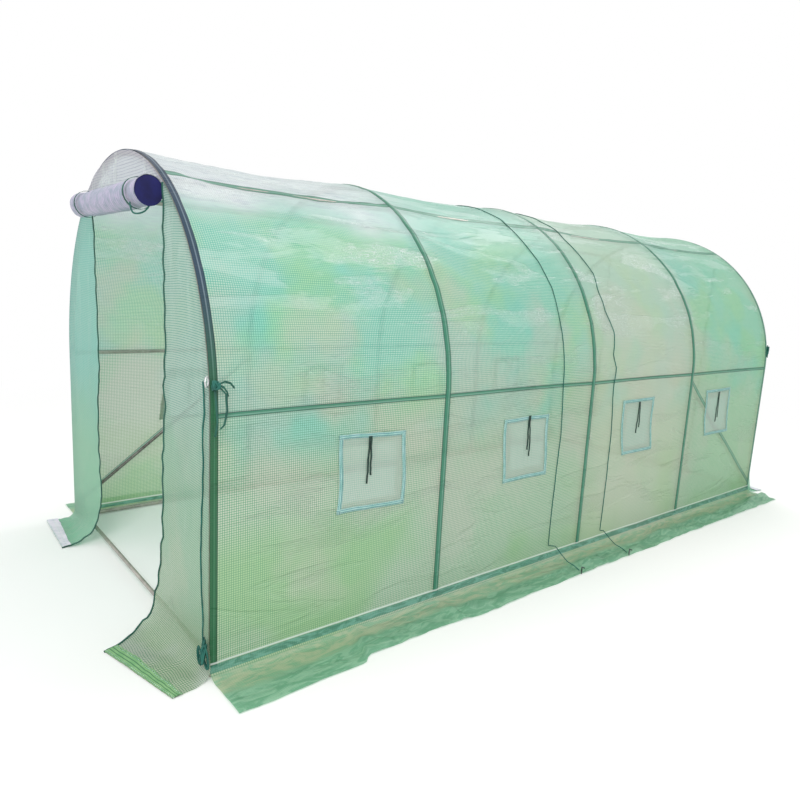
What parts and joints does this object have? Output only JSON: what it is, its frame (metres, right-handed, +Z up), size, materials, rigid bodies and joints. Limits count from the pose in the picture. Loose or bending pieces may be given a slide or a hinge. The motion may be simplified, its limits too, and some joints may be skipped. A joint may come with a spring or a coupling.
{
  "type": "polytunnel greenhouse",
  "caption": "Walk-in garden polytunnel: round-topped tube hoops with rails and braces under a translucent woven sheet, with a rolled-up end door, side windows and ground skirts.",
  "frame": {"origin": "on the ground at the middle of the tunnel, the bottom centre of the whole", "axes": "+Z up; +Y along the tunnel from the open doorway to the closed back end; +X across it, to the right seen from the doorway end looking in"},
  "size_m": [2.4602, 5.0306, 2.0074],
  "materials": {
    "cover_sheet": "semi-gloss woven",
    "galvanised_tube": "satin",
    "green_cord": "matte",
    "green_webbing": "matte",
    "pale_sheet": "semi-gloss woven",
    "peg_steel": "satin",
    "window_net": "matte",
    "zinc_fastener": "satin"
  },
  "bodies": {
    "root": {"back_bindings": "green_webbing", "back_door": "pale_sheet", "back_gable": "pale_sheet", "back_panel_left": "pale_sheet", "back_panel_right": "pale_sheet", "base_rail_back": "galvanised_tube", "base_rail_front": "galvanised_tube", "base_rail_left": "galvanised_tube", "base_rail_right": "galvanised_tube", "brace_left_front": "galvanised_tube", "brace_right_back": "galvanised_tube", "cover_roof_left": "cover_sheet", "cover_roof_right": "cover_sheet", "cover_roof_top": "cover_sheet", "cover_wall_left": "cover_sheet", "cover_wall_right": "cover_sheet", "door_roll_ties": "green_webbing", "front_bindings": "green_webbing", "front_door_roll": "cover_sheet", "front_gable": "pale_sheet", "front_panel_left": "pale_sheet", "front_panel_right": "pale_sheet", "hoop_1_arch": "galvanised_tube", "hoop_2_arch": "galvanised_tube", "hoop_3_arch": "galvanised_tube", "hoop_4_arch": "galvanised_tube", "hoop_5_arch": "galvanised_tube", "hoop_legs_left": "galvanised_tube", "hoop_legs_right": "galvanised_tube", "mid_rail_left": "galvanised_tube", "mid_rail_right": "galvanised_tube", "rail_nuts_left": "zinc_fastener", "rail_nuts_right": "zinc_fastener", "rope_pegs_left": "peg_steel", "rope_pegs_right": "peg_steel", "skirt_left": "cover_sheet", "skirt_right": "cover_sheet", "upper_purlin_left": "galvanised_tube", "upper_purlin_right": "galvanised_tube", "wall_foot_left": "cover_sheet", "wall_foot_right": "cover_sheet", "wind_rope_1": "green_cord", "wind_rope_2": "green_cord", "window_flaps_left": "cover_sheet", "window_flaps_right": "cover_sheet", "window_nets_left": "window_net", "window_nets_right": "window_net", "window_ties_left": "green_webbing", "window_ties_right": "green_webbing"}
  },
  "joints": []
}
